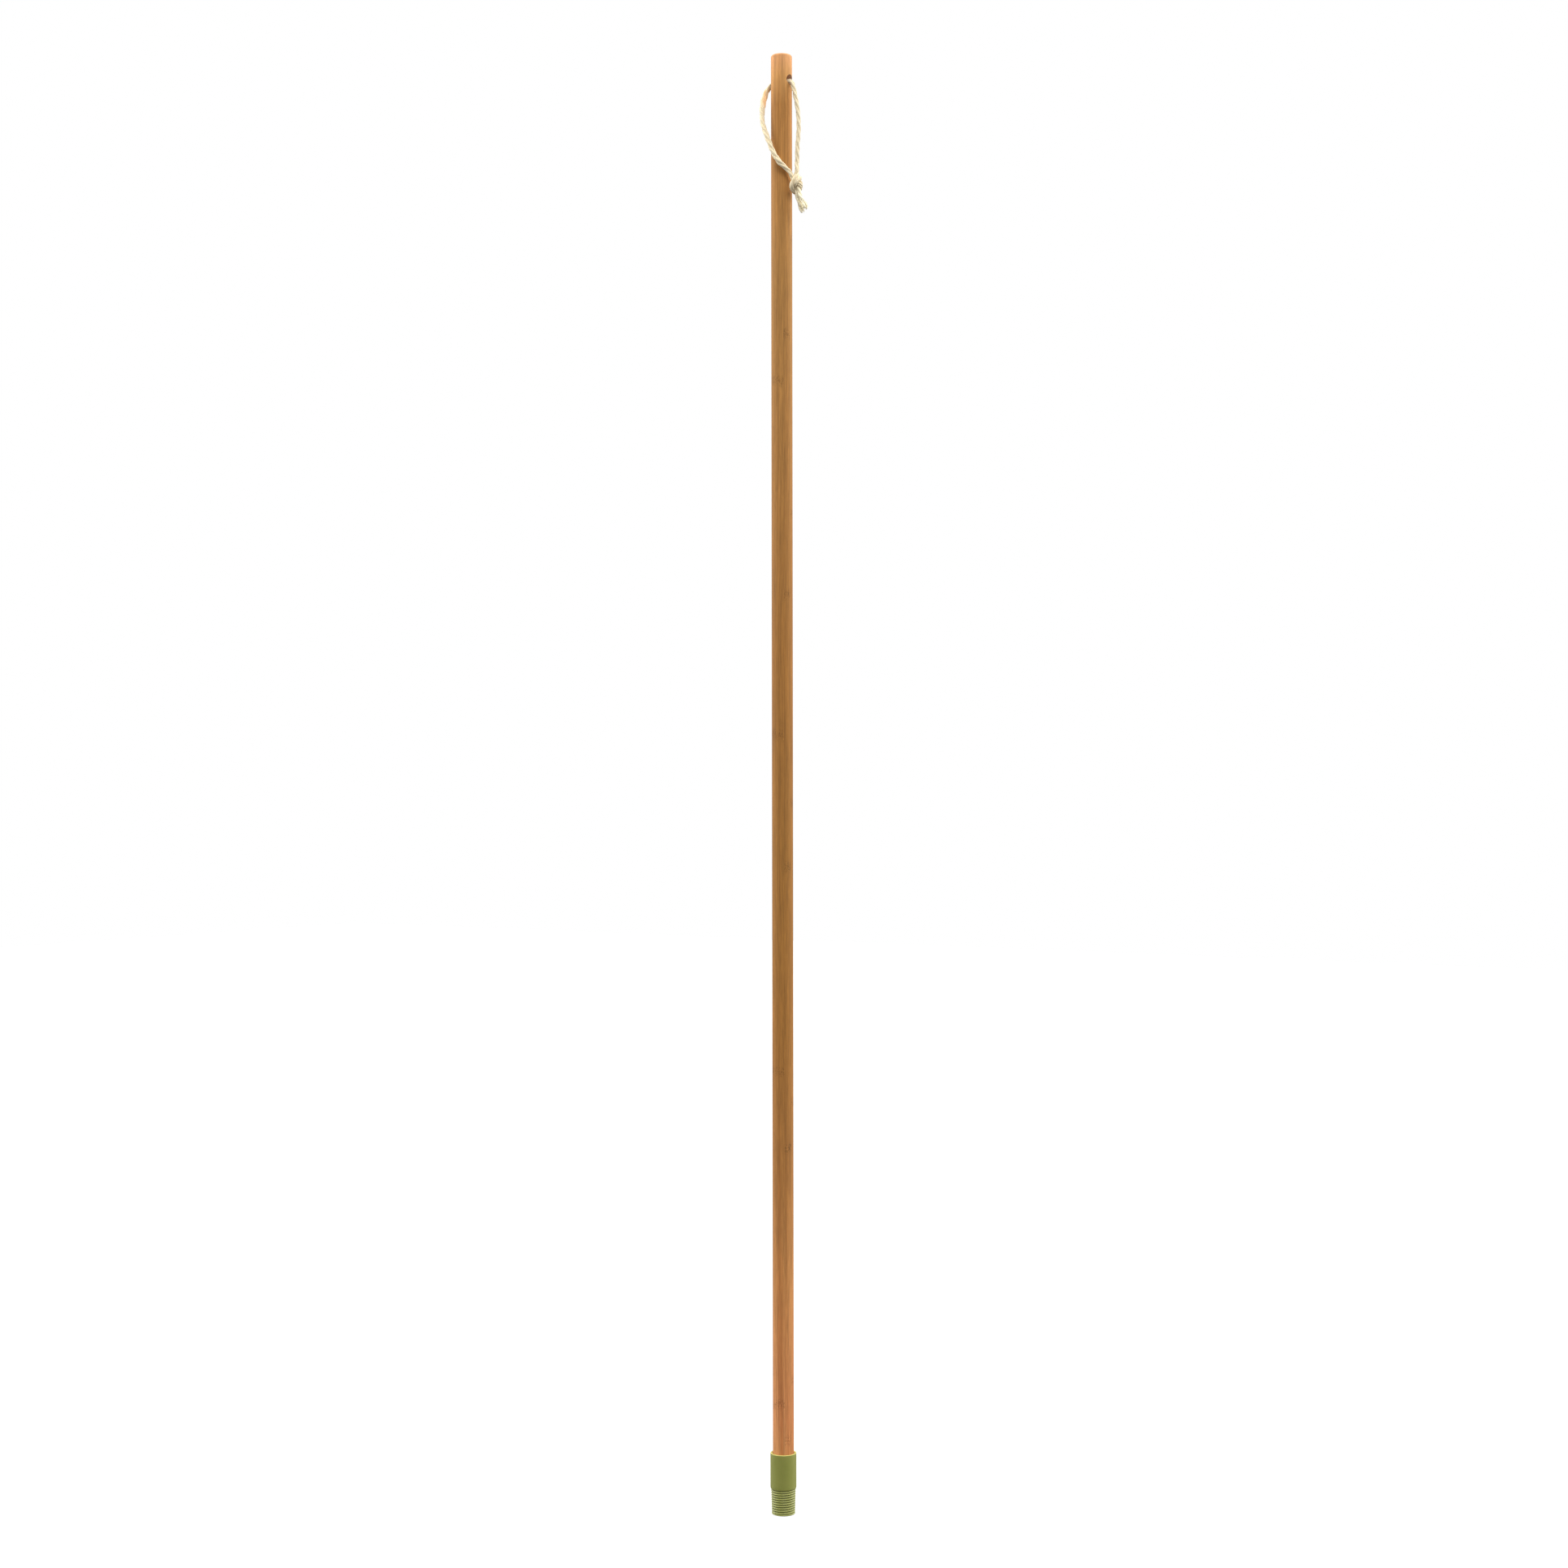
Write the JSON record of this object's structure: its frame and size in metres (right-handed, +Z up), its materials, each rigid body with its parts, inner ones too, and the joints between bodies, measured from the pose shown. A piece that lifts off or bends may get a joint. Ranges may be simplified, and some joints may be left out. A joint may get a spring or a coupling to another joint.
{
  "type": "screw-in tool handle",
  "caption": "Long round laminated bamboo handle with a plastic ferrule ending in a tapered male thread, and a knotted cord loop through a cross hole at the top for hanging.",
  "frame": {"origin": "centre of the flat end of the ferrule's male thread, at the handle's foot", "axes": "+Z up the handle from its threaded foot to its top, +X along the cord hole, -Y the front, where the cord loop crosses the pole"},
  "size_m": [0.0543, 0.0315, 1.524],
  "materials": {
    "bamboo": "satin lacquer",
    "ferrule_plastic": "smooth moulded, low sheen",
    "cord": "twisted cotton"
  },
  "bodies": {
    "handle": {"front_lamella": "bamboo", "front_core_lamella": "bamboo", "rear_core_lamella": "bamboo", "rear_lamella": "bamboo", "threaded_ferrule": "ferrule_plastic"},
    "cord": {"cord_loop": "cord", "cord_knot": "cord", "cord_tail_front": "cord", "cord_tail_rear": "cord"}
  },
  "joints": [
    {"name": "cord_swing", "type": "hinge", "parent": "handle", "child": "cord", "pos_m": [0, 0, 1.4951], "axis": [-1, 0, 0], "range_deg": [0, 325]}
  ]
}
